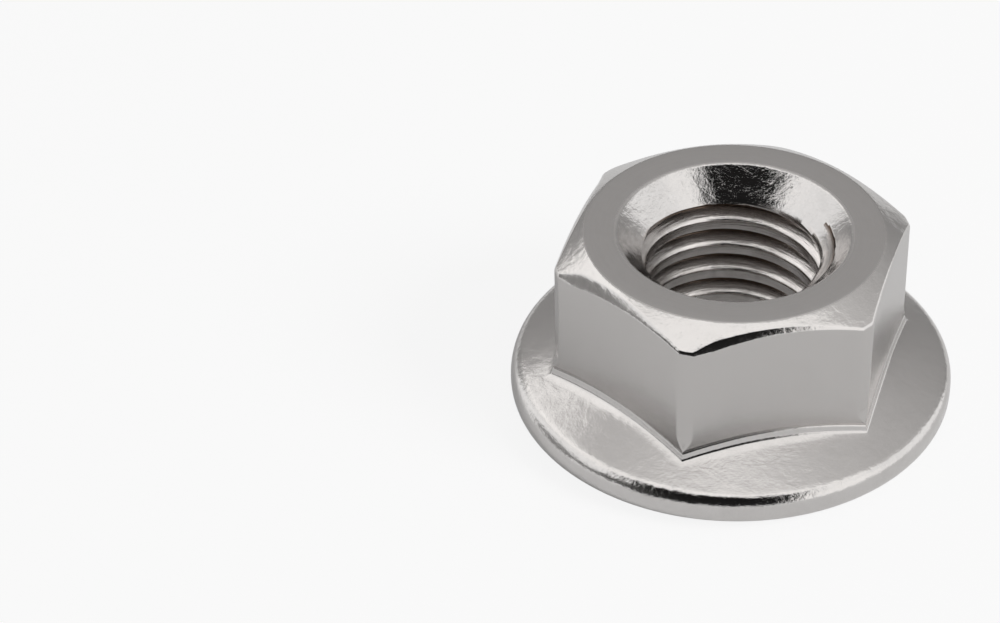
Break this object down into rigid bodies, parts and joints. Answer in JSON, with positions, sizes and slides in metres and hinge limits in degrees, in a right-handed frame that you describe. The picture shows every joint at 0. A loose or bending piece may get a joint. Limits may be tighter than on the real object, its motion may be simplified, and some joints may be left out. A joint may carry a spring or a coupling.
{
  "type": "flange nut",
  "caption": "Hexagon nut with a conical flange, curved ratchet serrations under it and a right-hand thread.",
  "frame": {"origin": "on the nut's axis, at the level of the tooth crests that bear on the joint", "axes": "+Z along the thread's axis from the bearing side to the top face"},
  "size_m": [0.0178, 0.0178, 0.008],
  "materials": {
    "stainless_steel": "satin to bright, as cold formed and tumbled"
  },
  "bodies": {
    "root": {"flange_nut": "stainless_steel"}
  },
  "joints": []
}
